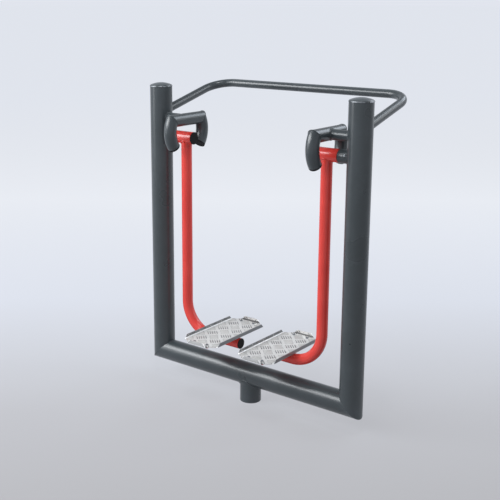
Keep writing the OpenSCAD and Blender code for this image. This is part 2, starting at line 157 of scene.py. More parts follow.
def between(tree, value, low, high, fromLow=0.3, fromHigh=0.7):
    # From low to high over a band of the value; the band that most of a noise lies in, if none is given
    node = addNode(tree, "ShaderNodeMapRange", Value=value, From_Min=fromLow, From_Max=fromHigh,
                   To_Min=low, To_Max=high)
    return node.outputs["Result"]


def mixColours(tree, factor, first, second):
    node = tree.nodes.new("ShaderNodeMix")
    node.data_type = "RGBA"
    feed(tree, node.inputs[0], factor)
    colourInputs = [s for s in node.inputs if s.type == "RGBA"]
    for socket, value in zip(colourInputs, (first, second)):
        feed(tree, socket, value)
    return next(s for s in node.outputs if s.type == "RGBA")


noiseKinds = {  # detail and roughness; the scale is the finish's own
    "grain": (2, 0.6), "peel": (1, 0.4), "cloud": (3, 0.55), "dust": (5, 0.7),
    "streak": (3, 0.65), "blotch": (4, 0.6), "pit": (2, 0.5), "bloom": (5, 0.65),
}
noiseBands = {  # the part of a noise's range over which its colour comes in
    "fleck": (0.45, 0.75), "dust": (0.55, 0.8), "streak": (0.4, 0.7), "pit": (0.58, 0.78),
    "bloom": (0.4, 0.75),
}


def texture(tree, space, look, kind):
    return noise(tree, space, look[kind + "Scale"], *noiseKinds[kind])


def stain(tree, base, mask, band, amount, colour):
    return mixColours(tree, between(tree, mask, 0, amount, *noiseBands[band]), base, linear(colour))


def wireUp(tree, shader, look, base, rough, height):
    tree.links.new(base, shader.inputs["Base Color"])
    tree.links.new(rough, shader.inputs["Roughness"])
    bump = addNode(tree, "ShaderNodeBump", Height=height, Distance=look["bump"],
                   Strength=look["bumpStrength"])
    tree.links.new(bump.outputs[0], shader.inputs["Normal"])
    for key, socketName in (("specular", "Specular IOR Level"), ("metallic", "Metallic")):
        if key in look:
            shader.inputs[socketName].default_value = look[key]


def frameDustLightAndGlints(tree, space, base, rough, look):
    # Dust and painted light on the post caps' tops, and painted glints on the weld crests, which are also
    # made smoother
    # Dust and painted light on the caps' tops, which face up to the light
    rise = addNode(tree, "ShaderNodeSeparateXYZ", Vector=space).outputs["Z"]
    low, high = (tube["postTop"] + height for height in look["capBand"])
    capDustAndLightMask = between(tree, rise, 0, look["capDustAndLight"], low, high)
    base = mixColours(tree, capDustAndLightMask, base, linear(look["dustColour"]))
    # Painted glints on the weld crests, which are also made smoother
    glint = addNode(tree, "ShaderNodeAttribute", {"attribute_name": "glint"}).outputs["Fac"]
    bright = calculate(tree, "MULTIPLY", glint, look["glint"])
    base = mixColours(tree, bright, base, linear(look["glintColour"]))
    smoother = calculate(tree, "MULTIPLY", glint, look["glintGloss"])
    return base, calculate(tree, "SUBTRACT", rough, smoother)


def powderCoat(name, look):
    material, tree, shader = newMaterial(name)
    space = objectSpace(tree)
    grain, peel, cloud, dust = (
        texture(tree, space, look, kind) for kind in ("grain", "peel", "cloud", "dust"))
    base = mixColours(tree, between(tree, cloud, 0, 1), linear(look["dark"]), linear(look["light"]))
    base = stain(tree, base, grain, "fleck", look["speckle"], look["fleck"])
    base = stain(tree, base, dust, "dust", look["dust"], look["dustColour"])
    rough = between(tree, cloud, look["roughLow"], look["roughHigh"])
    if "glintColour" in look:
        base, rough = frameDustLightAndGlints(tree, space, base, rough, look)
    height = calculate(tree, "MULTIPLY_ADD", peel, look["peelShare"], grain)
    wireUp(tree, shader, look, base, rough, height)
    return material


frameCoat = powderCoat("frameCoat", {
    "dark": "#2f3537", "light": "#363c3f", "fleck": "#4d5457", "dustColour": "#696f73",
    # the crest colour and share paint glints on the weld crests
    "glint": 0.8, "glintColour": "#a6abb0", "glintGloss": 0.08,
    # the cap dust is dust and painted light on the caps' tops
    "capDustAndLight": 0.28, "capBand": (2 * millimetre, 9 * millimetre),  # above the posts' tops
    "grainScale": 1500, "peelScale": 260, "cloudScale": 5, "dustScale": 14,
    "speckle": 0.25, "dust": 0.08, "roughLow": 0.26, "roughHigh": 0.32,
    "peelShare": 0.6, "bump": 0.00008, "bumpStrength": 0.1, "specular": 0.55,
})
armCoat = powderCoat("armCoat", {
    "dark": "#c2352e", "light": "#cc3e36", "fleck": "#d44b41", "dustColour": "#c5564d",
    "grainScale": 1300, "peelScale": 220, "cloudScale": 6, "dustScale": 18,
    "speckle": 0.15, "dust": 0.08, "roughLow": 0.18, "roughHigh": 0.22,
    "peelShare": 0.9, "bump": 0.00002, "bumpStrength": 0.08, "specular": 0.45,
})


def fade(tree, value, face, band, low=0, high=1):
    # From low to high over a band that is measured from one face of the sheet
    return between(tree, value, low, high, face + band[0], face + band[1])


def sheetShadeAndHighlights(tree, base, look):
    # Painted shade at the raised bars' feet, along the end folds, on the upright flanges and on the end
    # faces; painted highlights on the fold lines and cut edges
    grimeAndShade, paintedSideShade, paintedHighlight = (linear(look[key]) for key in ("footShadeColour", "sideShadeColour", "highlightColour"))
    foot = addNode(tree, "ShaderNodeAttribute", {"attribute_name": "foot"}).outputs["Fac"]
    # Painted shade at the raised bars' feet
    base = mixColours(tree, between(tree, foot, 0, look["footShade"], *look["footBand"]), base, grimeAndShade)
    place = addNode(tree, "ShaderNodeSeparateXYZ", Vector=objectSpace(tree)).outputs
    fromMiddle = calculate(tree, "SUBTRACT", calculate(tree, "ABSOLUTE", place["X"]), plate["x"])
    across, along = calculate(tree, "ABSOLUTE", fromMiddle), calculate(tree, "ABSOLUTE", place["Y"])
    rise = place["Z"]
    wall, end, tread = plate["halfWidth"] - plate["thickness"], plate["halfLength"], plate["tread"]
    # Painted highlight along the fold lines of the side flanges
    inFold = fade(tree, across, wall, look["foldAcross"])
    foldLow = fade(tree, rise, tread, look["foldTop"], 1, 0)
    base = mixColours(tree, calculate(tree, "MULTIPLY", inFold, foldLow), base, paintedHighlight)
    # Painted shade on the upright side flanges and on the plate's end faces
    upright = calculate(tree, "SUBTRACT", fade(tree, across, wall, look["wallInner"]), foldLow)
    flanges = calculate(tree, "MAXIMUM", upright, fade(tree, across, wall, look["wallOuter"]))
    base = mixColours(tree, calculate(tree, "MULTIPLY", flanges, look["sideShadeShare"]), base, paintedSideShade)
    base = mixColours(tree, fade(tree, along, end, look["endFace"], 0, look["endShadeShare"]), base, paintedSideShade)
    # Painted highlight along the slanting cut edges at the flanges' ends
    slant = calculate(tree, "MULTIPLY", calculate(tree, "SUBTRACT", rise, tread),
                      plate["slant"] / (plate["flangeTop"] - tread))
    pastSlant = calculate(tree, "SUBTRACT", calculate(tree, "ADD", across, slant),
                          plate["halfWidth"] - plate["cornerX"])
    cutEdge = calculate(tree, "MULTIPLY", fade(tree, pastSlant, 0, look["cutAcross"]),
                        fade(tree, along, end, look["cutAlong"]))
    base = mixColours(tree, cutEdge, base, paintedHighlight)
    # Painted shade along the inside corners of the end folds
    nearFold = fade(tree, along, end - plate["fold"], look["creaseStart"], 0, look["creaseShade"])
    insideOnly = fade(tree, along, end, look["creaseEnd"], 1, 0)
    crease = calculate(tree, "MULTIPLY", calculate(tree, "MULTIPLY", nearFold, insideOnly),
                       fade(tree, rise, tread, look["creaseTop"], 1, 0))
    return mixColours(tree, crease, base, grimeAndShade)


def bareMetal(name, look):
    material, tree, shader = newMaterial(name)
    streaks = texture(tree, objectSpace(tree, look["stretch"]), look, "streak")
    space = objectSpace(tree)
    blotch, pits = texture(tree, space, look, "blotch"), texture(tree, space, look, "pit")
    base = mixColours(tree, between(tree, blotch, 0, 1), linear(look["dark"]), linear(look["light"]))
    base = stain(tree, base, streaks, "streak", look["streak"], look["bright"])
    base = stain(tree, base, pits, "pit", look["grimeAndShade"], look["grimeColour"])
    if "footShadeColour" in look:
        base = sheetShadeAndHighlights(tree, base, look)
    wireUp(tree, shader, look, base, between(tree, blotch, look["roughLow"], look["roughHigh"]), streaks)
    return material


treadSheet = bareMetal("treadSheet", {
    "dark": "#c4c3c0", "light": "#d4d3d0", "bright": "#e4e3e0", "grimeColour": "#908f8c",
    "stretch": (9, 1, 9), "streakScale": 60, "blotchScale": 11, "pitScale": 90,
    "streak": 0.6, "grimeAndShade": 0.35, "roughLow": 0.34, "roughHigh": 0.5, "metallic": 0.35,
    "bump": 0.0001, "bumpStrength": 0.35,
    # The colours for the bars' feet, the sides and the folds' creases are painted shade; the bright edge
    # colour is a painted highlight
    "footShadeColour": "#343537", "footShade": 0.92, "footBand": (0.02, 0.17), "creaseShade": 0.85,
    "sideShadeColour": "#6e7173", "sideShadeShare": 0.9, "endShadeShare": 0.4, "highlightColour": "#f0f0ef",
    "foldAcross": (-7.5 * millimetre, -6.5 * millimetre),  # from the side flanges' inner faces
    "wallInner": (-0.6 * millimetre, -0.1 * millimetre),
    "wallOuter": (1.2 * millimetre, 1.6 * millimetre),
    "foldTop": (2.8 * millimetre, 3.6 * millimetre),  # above the tread
    "creaseTop": (4 * millimetre, 5.5 * millimetre),
    "endFace": (-1.4 * millimetre, -1.0 * millimetre),  # from the plate's ends
    "cutAlong": (-5 * millimetre, -4 * millimetre),
    "creaseEnd": (-2.5 * millimetre, -2 * millimetre),
    "creaseStart": (-10 * millimetre, -2 * millimetre),  # from the end folds
    "cutAcross": (-3 * millimetre, -2.4 * millimetre),  # from the slanting cuts
})
zincSteel = bareMetal("zincSteel", {
    "dark": "#73777b", "light": "#888c90", "bright": "#a4a7aa", "grimeColour": "#565551",
    "stretch": (1, 1, 5), "streakScale": 220, "blotchScale": 90, "pitScale": 400,
    "streak": 0.5, "grimeAndShade": 0.4, "roughLow": 0.48, "roughHigh": 0.62, "metallic": 1.0,
    "bump": 0.00004, "bumpStrength": 0.4,
})
bearingSteel = bareMetal("bearingSteel", {
    "dark": "#a6aaae", "light": "#b8bbbf", "bright": "#d2d5d8", "grimeColour": "#8c8a80",
    "stretch": (12, 1, 1), "streakScale": 180, "blotchScale": 120, "pitScale": 500,
    "streak": 0.5, "grimeAndShade": 0.1, "roughLow": 0.14, "roughHigh": 0.22, "metallic": 1.0,
    "bump": 0.00002, "bumpStrength": 0.3,
})


def blackPolymer(name, look):
    material, tree, shader = newMaterial(name)
    space = objectSpace(tree)
    grain, bloom = texture(tree, space, look, "grain"), texture(tree, space, look, "bloom")
    base = stain(tree, linear(look["colour"]), bloom, "bloom", look["bloom"], look["bloomColour"])
    wireUp(tree, shader, look, base, between(tree, grain, look["roughLow"], look["roughHigh"]), grain)
    return material


bufferRubber = blackPolymer("bufferRubber", {
    "colour": "#0b0c0e", "bloomColour": "#1c1d1f", "grainScale": 700, "bloomScale": 60, "bloom": 0.6,
    "roughLow": 0.62, "roughHigh": 0.8, "bump": 0.0002, "bumpStrength": 0.5, "specular": 0.2,
})
sealRubber = blackPolymer("sealRubber", {
    "colour": "#151618", "bloomColour": "#26272a", "grainScale": 900, "bloomScale": 150, "bloom": 0.3,
    "roughLow": 0.5, "roughHigh": 0.62, "bump": 0.00008, "bumpStrength": 0.4, "specular": 0.4,
})
capPlastic = blackPolymer("capPlastic", {
    "colour": "#070707", "bloomColour": "#121213", "grainScale": 1100, "bloomScale": 45, "bloom": 0.4,
    "roughLow": 0.45, "roughHigh": 0.58, "bump": 0.00012, "bumpStrength": 0.5, "specular": 0.15,
})
finishes = {
    "frame_coat": frameCoat, "arm_coat": armCoat, "tread_sheet": treadSheet, "zinc_steel": zincSteel,
    "bearing_steel": bearingSteel, "buffer_rubber": bufferRubber, "seal_rubber": sealRubber,
    "cap_plastic": capPlastic,
}
slotOf = {row["node"]: row["material_slot"] for row in frame["record"]["subparts"]}
bodyOf = {n: body for body, names in frame["record"]["behaviour"]["bodies"].items() for n in names}
for nodeName, cadObject in nodes.items():
    cadObject.data.materials.clear()
    cadObject.data.materials.append(finishes[slotOf[nodeName]])
print("materials made:", len(finishes))


# Geometry Nodes helpers

def geometryTree(name, inputs):
    tree = bpy.data.node_groups.new(name, "GeometryNodeTree")
    tree.interface.new_socket(name="Geometry", in_out="INPUT", socket_type="NodeSocketGeometry")
    tree.interface.new_socket(name="Geometry", in_out="OUTPUT", socket_type="NodeSocketGeometry")
    for label, kind in inputs.items():
        tree.interface.new_socket(name=label, in_out="INPUT", socket_type="NodeSocket" + kind)
    return tree, tree.nodes.new("NodeGroupInput").outputs, tree.nodes.new("NodeGroupOutput").inputs


def closeTree(tree, geometry, finish, result):
    smooth = addNode(tree, "GeometryNodeSetShadeSmooth", Geometry=geometry)
    single = addNode(tree, "GeometryNodeRealizeInstances", Geometry=smooth.outputs[0])
    painted = addNode(tree, "GeometryNodeSetMaterial", Geometry=single.outputs[0], Material=finish)
    tree.links.new(painted.outputs[0], result["Geometry"])
    return tree


def growMesh(piece, tree, values):
    # The modifier's result becomes the piece's own plain mesh
    modifier = piece.modifiers.new("shape", "NODES")
    modifier.node_group = tree
    for item in tree.interface.items_tree:
        if item.in_out == "INPUT" and item.name in values:
            modifier[item.identifier] = values[item.name]
    bpy.context.view_layer.update()
    shaper = bpy.context.evaluated_depsgraph_get()
    grown = bpy.data.meshes.new_from_object(piece.evaluated_get(shaper), depsgraph=shaper)
    piece.modifiers.remove(modifier)
    piece.data = grown
    return piece


def newPiece(name, mesh):
    piece = bpy.data.objects.new(name, mesh)
    bpy.context.scene.collection.objects.link(piece)
    return piece


def settle(piece, body, slotName, *replaced):
    # Every finished piece gets its body, its slot and its material here
    piece.data.materials.clear()
    piece.data.materials.append(finishes[slotName])
    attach(piece, body)
    if replaced:
        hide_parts(*replaced)
    return piece


# Weld beads, each given by its radius

weld = {
    "stubBead": 4.5 * millimetre,
    "mitreBead": 2.6 * millimetre,
    "mitreInset": 2.2 * millimetre,  # the mitres are dressed nearly flush
    "tubeBead": 3.6 * millimetre,
    "legBead": 1.8 * millimetre,
    "capBead": 2.6 * millimetre,
    "capInset": 1.1 * millimetre,  # of the bead's middle inside the post's wall
    "capRipple": 15 * millimetre,
    "capRippleDepth": 0.1,
    # the cap seams' crests carry painted glints
    "capGlint": 1.0,
    "armBead": 4.0 * millimetre,
    "armStart": 4,  # hub radii below the pivot, where the arm is straight
    "bearerBead": 2.6 * millimetre,
    "bearerWidth": 40 * millimetre,
    "bearerReach": 11 * millimetre,  # of a bead from the arm's crown
    "bearerDrop": 0.5,  # bead radii below the bearer's underside
    "bearerShares": (0.04, 0.5, 0.96),  # a bead's points across the bearer
    "ripple": 5.5 * millimetre,
    "rippleDepth": 0.09,
    "patches": (48.0, 1.0, 0.4),  # noise that picks the crests with painted glints: scale, detail, roughness
    "patchBand": (0.44, 0.6),  # of that noise, from no painted glint to full
    "step": 1.1 * millimetre,  # from one section of a bead to the next
    "points": 96,  # of a seam's line, before the steps are laid on it
    "around": 12,  # round a bead
}


def weldTree():
    tree, given, result = geometryTree("weldBead", {
        "Step": "Float", "Ripple": "Float", "Ripple Depth": "Float", "Glints": "Float", "Finish": "Material",
    })
    curves = addNode(tree, "GeometryNodeMeshToCurve", Mesh=given["Geometry"])
    fine = addNode(tree, "GeometryNodeResampleCurve", {"mode": "LENGTH"}, Curve=curves.outputs[0],
                   Length=given["Step"])
    along = tree.nodes.new("GeometryNodeSplineParameter").outputs["Length"]
    turns = calculate(tree, "MULTIPLY", calculate(tree, "DIVIDE", along, given["Ripple"]), 2 * math.pi)
    swing = calculate(tree, "SINE", turns)
    wave = calculate(tree, "MULTIPLY", swing, given["Ripple Depth"])
    size = addNode(tree, "GeometryNodeInputNamedAttribute", {"data_type": "FLOAT"}, Name="beadSize")
    radius = calculate(tree, "MULTIPLY", calculate(tree, "ADD", wave, 1.0), size.outputs["Attribute"])
    ring = addNode(tree, "GeometryNodeCurvePrimitiveCircle", Resolution=weld["around"], Radius=1.0)
    place = tree.nodes.new("GeometryNodeInputPosition").outputs[0]
    # Painted glints: a noise picks patches of the bead's crests to be painted lighter
    bright = between(tree, noise(tree, place, *weld["patches"]), 0, 1, *weld["patchBand"])
    glint = calculate(tree, "MULTIPLY", bright, given["Glints"])
    glinted = addNode(tree, "GeometryNodeStoreNamedAttribute", {"data_type": "FLOAT", "domain": "POINT"},
                     Geometry=fine.outputs[0], Name="glint", Value=glint)
    solid = addNode(tree, "GeometryNodeCurveToMesh", Curve=glinted.outputs[0],
                    Profile_Curve=ring.outputs[0], Scale=radius, Fill_Caps=True)
    return closeTree(tree, solid.outputs[0], given["Finish"], result)


def circlePoints(count):
    return [2 * math.pi * i / count for i in range(count)]


def copeLine(start, direction, radius, axisPoint, axis, bigRadius):
    # Where a tube that runs from start along direction first meets a larger round tube
    direction, axis = Vector(direction).normalized(), Vector(axis).normalized()
    across = direction.orthogonal().normalized()
    other = direction.cross(across)
    line = []
    for angle in circlePoints(weld["points"]):
        point = Vector(start) + radius * (math.cos(angle) * across + math.sin(angle) * other)
        offset = point - Vector(axisPoint)
        offset -= offset.dot(axis) * axis
        slope = direction - direction.dot(axis) * axis
        a, b, c = slope.dot(slope), 2 * offset.dot(slope), offset.dot(offset) - bigRadius ** 2
        travel = (-b - math.sqrt(max(b * b - 4 * a * c, 0))) / (2 * a)
        line.append(point + travel * direction)
    return line


def mitreLine(centre, direction, radius, normal):
    # Where a tube's wall crosses the plane of a mitre through its axis
    direction, normal = Vector(direction).normalized(), Vector(normal).normalized()
    across = direction.orthogonal().normalized()
    other = direction.cross(across)
    line = []
    for angle in circlePoints(weld["points"]):
        spoke = radius * (math.cos(angle) * across + math.sin(angle) * other)
        line.append(Vector(centre) + spoke - direction * spoke.dot(normal) / direction.dot(normal))
    return line


def frameWelds():
    post, beamZ = tube["postX"], tube["beamZ"]
    radius = tube["postRadius"]
    seams = [(copeLine((0, 0, 0), (0, 0, 1), tube["stubRadius"], (0, 0, beamZ), (1, 0, 0), radius),
              weld["stubBead"], True)]
    for sign in sides.values():
        postAxis = ((sign * post, 0, 0), (0, 0, 1), radius)
        railStart = (sign * post, railReach / 2, railHeight + tube["railRise"] / 2)
        towardsPost = (0, -math.cos(railSlope), -math.sin(railSlope))
        bar = (sign * tube["armX"], 0, tube["barZ"])
        hub = (sign * tube["armX"], 0, tube["pivotZ"])
        postMiddle = (sign * post, 0, tube["barZ"])
        barTube = (bar, (0, 1, 0), tube["barRadius"])
        seams += [
            (mitreLine((sign * post, 0, beamZ), (sign, 0, 0), radius - weld["mitreInset"], (sign, 0, 1)),
             weld["mitreBead"], True),
            (copeLine(railStart, towardsPost, tube["railRadius"], *postAxis), weld["tubeBead"], True),
            (copeLine(bar, (sign, 0, 0), tube["stemRadius"], *postAxis), weld["tubeBead"], True),
            (copeLine(postMiddle, (-sign, 0, 0), tube["stemRadius"], *barTube), weld["tubeBead"], True),
            (copeLine(hub, (sign, 0, 0), tube["bossRadius"], *postAxis), weld["tubeBead"], True),
        ]
        barEnd = span("bracket_bar_right", 1)[1] - math.tan(legMitre) * tube["barRadius"]
        for end in ends:
            centre = (sign * tube["armX"], end * barEnd, tube["barZ"])
            normal = (0, end * math.cos(legMitre), -math.sin(legMitre))
            seams.append((mitreLine(centre, (0, 1, 0), tube["barRadius"], normal), weld["legBead"], True))
    return seams


def capWelds():
    around = tube["postRadius"] - weld["capInset"]
    return [(mitreLine((sign * tube["postX"], 0, tube["postTop"]), (0, 0, 1), around, (0, 0, 1)),
             weld["capBead"], True) for sign in sides.values()]


def armWelds(sign):
    armX, pivotZ = sign * tube["armX"], tube["pivotZ"]
    start = (armX, 0, pivotZ - weld["armStart"] * tube["hubRadius"])
    cope = copeLine(start, (0, 0, 1), tube["armRadius"], (armX, 0, pivotZ), (1, 0, 0), tube["hubRadius"])
    seams = [(cope, weld["armBead"], True)]
    low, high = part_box("plate_bearers_right")
    width, z = weld["bearerWidth"], low.z - weld["bearerBead"] * weld["bearerDrop"]
    for barX in (low.x, high.x - width):
        for end in ends:
            line = [Vector((sign * (barX + width * share), end * weld["bearerReach"], z))
                    for share in weld["bearerShares"]]
            seams.append((line, weld["bearerBead"], False))
    return seams


def weldPiece(name, body, slotName, seams, tree,
              ripple=weld["ripple"], depth=weld["rippleDepth"], glints=0.0):
    made = bmesh.new()
    size = made.verts.layers.float.new("beadSize")
    for line, bead, closed in seams:
        corners = [made.verts.new(p) for p in line]
        for corner in corners:
            corner[size] = bead
        pairs = list(zip(corners, corners[1:])) + ([(corners[-1], corners[0])] if closed else [])
        for pair in pairs:
            made.edges.new(pair)
    mesh = bpy.data.meshes.new(name)
    made.to_mesh(mesh)
    made.free()
    piece = growMesh(newPiece(name, mesh), tree, {
        "Step": weld["step"], "Ripple": ripple, "Ripple Depth": depth, "Glints": glints,
        "Finish": finishes[slotName],
    })
    return settle(piece, body, slotName)


beadTree = weldTree()
weldPiece("frame_welds", "frame", "frame_coat", frameWelds(), beadTree)
weldPiece("cap_welds", "frame", "frame_coat", capWelds(), beadTree,
          weld["capRipple"], weld["capRippleDepth"], weld["capGlint"])
for side, sign in sides.items():
    weldPiece(f"arm_welds_{side}", f"{side}_arm", "arm_coat", armWelds(sign), beadTree)
print("welds made")


# Tread plate: groups of five bars, each group turned a quarter against its neighbours

treadBars = {
    "cell": 63 * millimetre,  # from group to group
    "cells": 11,  # each way, more than the plate shows
    "perGroup": 5,
    "pitch": 11.4 * millimetre,
    "length": 46 * millimetre,
    "width": 4.6 * millimetre,
    "height": 2.2 * millimetre,
    "turn": math.pi / 4,  # of the whole pattern to the plate
    "offset": (0.0, 5 * millimetre),
    "margin": 1.5 * millimetre,  # left bare along the edges
    "sunk": 0.4 * millimetre,  # the bars' roots in the sheet
    "blankTop": 3,  # bar heights, clear of the bars' tops
    "foldInside": 6.5 * millimetre,  # left bare over a fold
    "segments": 14,
    "rings": 8,
    "leastShade": 0.12,  # along the half of the bars that gets the least painted shade
    "shadeBand": (0.95, 1.3),  # how squarely a side faces the diagonal along which the shade is painted
    "flatTop": 0.01,  # keeps the division safe where a bar is level
    "sharp": math.radians(50),
}


def treadTree():
    tree, given, result = geometryTree("treadBars", {
        "Cell": "Float", "Cells": "Int", "Bars": "Int", "Pitch": "Float", "Length": "Float",
        "Width": "Float", "Height": "Float", "Shift": "Vector", "Turn": "Float", "Finish": "Material",
    })
    ball = addNode(tree, "GeometryNodeMeshUVSphere", Segments=treadBars["segments"],
                   Rings=treadBars["rings"], Radius=0.5)
    shape = addNode(tree, "ShaderNodeCombineXYZ", X=given["Width"], Y=given["Length"],
                    Z=calculate(tree, "MULTIPLY", given["Height"], 2.0))
    bar = addNode(tree, "GeometryNodeTransform", Geometry=ball.outputs[0], Scale=shape.outputs[0])
    first = calculate(tree, "MULTIPLY", given["Pitch"], calculate(tree, "DIVIDE", calculate(
        tree, "SUBTRACT", 1.0, given["Bars"]), 2.0))
    row = addNode(tree, "GeometryNodeMeshLine", Count=given["Bars"],
                  Start_Location=addNode(tree, "ShaderNodeCombineXYZ", X=first).outputs[0],
                  Offset=addNode(tree, "ShaderNodeCombineXYZ", X=given["Pitch"]).outputs[0])
    group = addNode(tree, "GeometryNodeInstanceOnPoints", Points=row.outputs[0], Instance=bar.outputs[0])
    width = calculate(tree, "MULTIPLY", given["Cell"], calculate(tree, "SUBTRACT", given["Cells"], 1.0))
    grid = addNode(tree, "GeometryNodeMeshGrid", Size_X=width, Size_Y=width, Vertices_X=given["Cells"],
                   Vertices_Y=given["Cells"])
    index = tree.nodes.new("GeometryNodeInputIndex").outputs[0]
    column = calculate(tree, "FLOOR", calculate(tree, "DIVIDE", index, given["Cells"]))
    odd = calculate(tree, "MODULO", calculate(tree, "ADD", column, calculate(
        tree, "MODULO", index, given["Cells"])), 2.0)
    even = calculate(tree, "SUBTRACT", 1.0, odd)
    quarter = addNode(tree, "ShaderNodeCombineXYZ", Z=calculate(tree, "MULTIPLY", even, math.pi / 2))
    groups = addNode(tree, "GeometryNodeInstanceOnPoints", Points=grid.outputs[0],
                     Instance=group.outputs[0], Rotation=quarter.outputs[0])
    placed = addNode(tree, "GeometryNodeTransform", Geometry=groups.outputs[0], Translation=given["Shift"])
    turned = addNode(tree, "GeometryNodeTransform", Geometry=placed.outputs[0],
                     Rotation=addNode(tree, "ShaderNodeCombineXYZ", Z=given["Turn"]).outputs[0])
    single = addNode(tree, "GeometryNodeRealizeInstances", Geometry=turned.outputs[0])
    cut = tree.nodes.new("GeometryNodeMeshBoolean")
    cut.operation = "INTERSECT"
    meshes = cut.inputs["Mesh 2"]
    tree.links.new(single.outputs[0], meshes)
    tree.links.new(given["Geometry"], meshes)
    place = tree.nodes.new("GeometryNodeInputPosition").outputs[0]
    rise = addNode(tree, "ShaderNodeSeparateXYZ", Vector=place).outputs["Z"]
    depth = calculate(tree, "SUBTRACT", 1.0, calculate(tree, "DIVIDE", rise, given["Height"]))
    normal = tree.nodes.new("GeometryNodeInputNormal").outputs[0]
    facing = addNode(tree, "ShaderNodeSeparateXYZ", Vector=normal).outputs
    slope = calculate(tree, "ABSOLUTE", calculate(tree, "ADD", facing["X"], facing["Y"]))
    squares = [calculate(tree, "MULTIPLY", facing[axis], facing[axis]) for axis in "XY"]
    level = calculate(tree, "SQRT", calculate(tree, "ADD", *squares))
    level = calculate(tree, "MAXIMUM", level, treadBars["flatTop"])
    # Painted shade: flanks facing along one diagonal are marked, more towards the bars' feet
    side = between(tree, calculate(tree, "DIVIDE", slope, level), treadBars["leastShade"], 1,
                   *treadBars["shadeBand"])
    marked = addNode(tree, "GeometryNodeStoreNamedAttribute", {"data_type": "FLOAT", "domain": "POINT"},
                     Geometry=cut.outputs[0], Name="foot", Value=calculate(tree, "MULTIPLY", depth, side))
    return closeTree(tree, marked.outputs[0], given["Finish"], result)


def prism(name, outline, low, high):
    mesh = bpy.data.meshes.new(name)
    made = bmesh.new()
    base = [made.verts.new((x, y, low)) for x, y in outline]
    top = [made.verts.new((x, y, high)) for x, y in outline]
    made.faces.new(list(reversed(base)))
    made.faces.new(top)
    count = len(outline)
    for i in range(count):
        after = (i + 1) % count
        made.faces.new((base[i], base[after], top[after], top[i]))
    bmesh.ops.recalc_face_normals(made, faces=made.faces)
    made.to_mesh(mesh)
    made.free()
    return newPiece(name, mesh)


def patternOn(outline, fold, tree):
    # The pattern is cut to one flat stretch of the sheet, and then turned up with it
    blank = prism("blank", outline, -treadBars["sunk"], treadBars["blankTop"] * treadBars["height"])
    growMesh(blank, tree, {
        "Cell": treadBars["cell"], "Cells": treadBars["cells"], "Bars": treadBars["perGroup"],
        "Pitch": treadBars["pitch"], "Length": treadBars["length"], "Width": treadBars["width"],
        "Height": treadBars["height"], "Shift": (*treadBars["offset"], 0.0), "Turn": treadBars["turn"],
        "Finish": treadSheet,
    })
    mesh = blank.data
    bpy.data.objects.remove(blank)
    mesh.transform(fold)
    return mesh


def treadPattern(tree):
    halfWidth, halfLength = plate["halfWidth"], plate["halfLength"]
    flatX, flatY = halfWidth - plate["fold"], halfLength - plate["fold"]
    cutX, cutY = halfWidth - plate["cornerX"], halfLength - plate["cornerY"]
    margin = treadBars["margin"]
    onSide, onEnd = (flatX, cutY), (cutX, flatY)  # the two points of a cut corner
    corners = ((1, 1, onSide, onEnd), (-1, 1, onEnd, onSide),
               (-1, -1, onSide, onEnd), (1, -1, onEnd, onSide))
    floorOutline = [(signX * x, signY * y) for signX, signY, *pair in corners for x, y in pair]
    inset = [(x - math.copysign(margin, x), y - math.copysign(margin, y)) for x, y in floorOutline]
    meshes = [patternOn(inset, Matrix.Identity(4), tree)]
    rise = plate["flangeTop"] - plate["tread"]
    for quarter in range(4):
        reachOut, halfSide = ((halfWidth, cutY), (halfLength, cutX))[quarter % 2]
        wall = reachOut - plate["thickness"]  # the flange's inner face
        foot, top = wall + treadBars["foldInside"], wall + rise - margin
        footSide, topSide = halfSide - margin, halfSide - (plate["slant"] + margin)
        outline = [(foot, -footSide), (top, -topSide), (top, topSide), (foot, footSide)]
        turn = Matrix.Rotation(quarter * math.pi / 2, 4, "Z")
        turned = [tuple((turn @ Vector((x, y, 0)))[:2]) for x, y in outline]
        upright = Matrix(((0, 0, -1, wall), (0, 1, 0, 0), (1, 0, 0, -wall), (0, 0, 0, 1)))  # about the fold
        meshes.append(patternOn(turned, turn @ upright @ turn.inverted(), tree))
    joined = bmesh.new()
    for mesh in meshes:
        joined.from_mesh(mesh)
        bpy.data.meshes.remove(mesh)
    pattern = bpy.data.meshes.new("treadPattern")
    joined.to_mesh(pattern)
    joined.free()
    pattern.shade_smooth()
    pattern.set_sharp_from_angle(angle=treadBars["sharp"])
    return pattern


pattern = treadPattern(treadTree())
for side, sign in sides.items():
    ownPattern = pattern.copy()
    ownPattern.transform(Matrix.Translation((sign * plate["x"], 0, plate["tread"])))
    settle(newPiece(f"tread_bars_{side}", ownPattern), f"{side}_arm", "tread_sheet")
print("tread bars made:", len(pattern.polygons), "faces on each plate")


# Sheet, cap and tube ends with their edges broken: a merged copy of each solid gets a small bevel

edgeBreak = {
    "widths": {
        "footplate": 0.5 * millimetre, "plate_bearers": 0.6 * millimetre,
        "footplate_washers": 0.2 * millimetre, "footplate_nuts": 0.4 * millimetre,
        "hub": 0.8 * millimetre, "pivot_boss": 0.6 * millimetre, "stop_buffers": 1.2 * millimetre,
        "hub_cap": 0.5 * millimetre, "arm_end_cap": 0.5 * millimetre,
        "end_washer": 0.3 * millimetre, "end_bolt": 0.3 * millimetre,
    },
    "merge": 0.001 * millimetre,
    "flat": math.radians(0.5),  # flatter than this, an edge is dissolved
    "sharp": math.radians(30),
    "bevelFrom": math.radians(35),
    "segments": 2,
}


